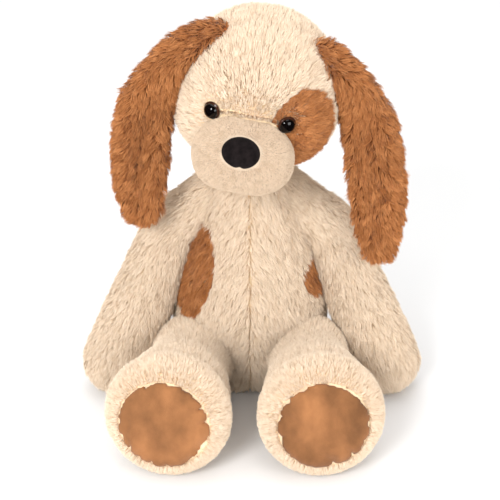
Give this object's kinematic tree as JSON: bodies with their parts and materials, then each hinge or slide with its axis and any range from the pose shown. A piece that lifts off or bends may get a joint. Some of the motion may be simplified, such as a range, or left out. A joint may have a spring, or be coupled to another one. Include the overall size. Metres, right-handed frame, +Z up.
{
  "type": "plush dog",
  "caption": "Seated stuffed plush dog with long floppy ears, a round muzzle, an eye patch, splayed arms and forward legs with round sole pads.",
  "frame": {"origin": "middle of the flat seat that the body rests on, on the surface it sits on", "axes": "+Z up; the face and the soles look to -Y; the dog's own left is at +X"},
  "size_m": [0.3146, 0.3294, 0.373],
  "materials": {
    "cream_plush": "long soft pile, cream",
    "short_cream_plush": "short pile, cream",
    "caramel_plush": "long soft pile, caramel",
    "sole_suede": "very short brushed pile, caramel",
    "nose_velour": "matt black velour",
    "eye_gloss": "polished black",
    "eye_rim": "dark brown, glossy",
    "washer_plastic": "moulded",
    "fibre_fill": "loose polyester fibre",
    "woven_cloth": "plain weave",
    "pellets": "loose round pellets",
    "thread": "polyester thread"
  },
  "bodies": {
    "torso": {"torso_cover": "cream_plush", "torso_stuffing": "fibre_fill", "pellet_bag": "woven_cloth", "seat_pellets": "pellets", "side_patch_right": "caramel_plush", "side_patch_left": "caramel_plush", "closing_stitches": "thread", "care_label": "woven_cloth"},
    "neck": {"neck_stuffing": "fibre_fill", "neck_thread": "thread"},
    "head": {"head_cover": "cream_plush", "head_stuffing": "fibre_fill", "muzzle_cover": "short_cream_plush", "muzzle_stuffing": "fibre_fill", "nose": "nose_velour", "eye_patch": "caramel_plush", "eye_left": "eye_gloss", "eye_right": "eye_gloss", "eye_rim_left": "eye_rim", "eye_rim_right": "eye_rim", "eye_washer_left": "washer_plastic", "eye_washer_right": "washer_plastic"},
    "ear_left": {"ear_left_outer": "caramel_plush", "ear_left_lining": "caramel_plush"},
    "ear_right": {"ear_right_outer": "caramel_plush", "ear_right_lining": "caramel_plush"},
    "arm_left": {"arm_left_cover": "cream_plush", "arm_left_stuffing": "fibre_fill"},
    "arm_right": {"arm_right_cover": "cream_plush", "arm_right_stuffing": "fibre_fill"},
    "leg_left": {"leg_left_cover": "cream_plush", "leg_left_stuffing": "fibre_fill", "foot_pad_left": "sole_suede"},
    "leg_right": {"leg_right_cover": "cream_plush", "leg_right_stuffing": "fibre_fill", "foot_pad_right": "sole_suede"},
    "tail": {"tail_cover": "caramel_plush", "tail_stuffing": "fibre_fill"}
  },
  "joints": [
    {"name": "head_turn", "type": "hinge", "parent": "torso", "child": "neck", "pos_m": [0.002, -0.02, 0.236], "axis": [0, 0, 1], "range_deg": [-20, 20], "stiffness_Nm_per_rad": 1.2},
    {"name": "head_nod", "type": "hinge", "parent": "neck", "child": "head", "pos_m": [0.002, -0.02, 0.236], "axis": [1, 0, 0], "range_deg": [-10, 12], "stiffness_Nm_per_rad": 2.5},
    {"name": "ear_left_lift", "type": "hinge", "parent": "head", "child": "ear_left", "pos_m": [0.06821, -0.036, 0.34462], "axis": [-0.5299, 0, 0.848], "range_deg": [0, 40]},
    {"name": "ear_right_lift", "type": "hinge", "parent": "head", "child": "ear_right", "pos_m": [-0.03571, -0.036, 0.36295], "axis": [-0.788, 0, -0.6157], "range_deg": [0, 40]},
    {"name": "arm_left_raise", "type": "hinge", "parent": "torso", "child": "arm_left", "pos_m": [0.073, -0.014, 0.156], "axis": [0.13, -0.915, 0.382], "range_deg": [0, 45]},
    {"name": "arm_right_raise", "type": "hinge", "parent": "torso", "child": "arm_right", "pos_m": [-0.073, -0.014, 0.156], "axis": [0.13, 0.915, -0.382], "range_deg": [0, 45]},
    {"name": "leg_left_lift", "type": "hinge", "parent": "torso", "child": "leg_left", "pos_m": [0.054, -0.066, 0.041], "axis": [-1, 0, 0], "range_deg": [0, 25]},
    {"name": "leg_right_lift", "type": "hinge", "parent": "torso", "child": "leg_right", "pos_m": [-0.054, -0.066, 0.041], "axis": [-1, 0, 0], "range_deg": [0, 25]},
    {"name": "tail_wag", "type": "hinge", "parent": "torso", "child": "tail", "pos_m": [0, 0.076, 0.046], "axis": [0, 0, 1], "range_deg": [-30, 30], "stiffness_Nm_per_rad": 0.05}
  ]
}
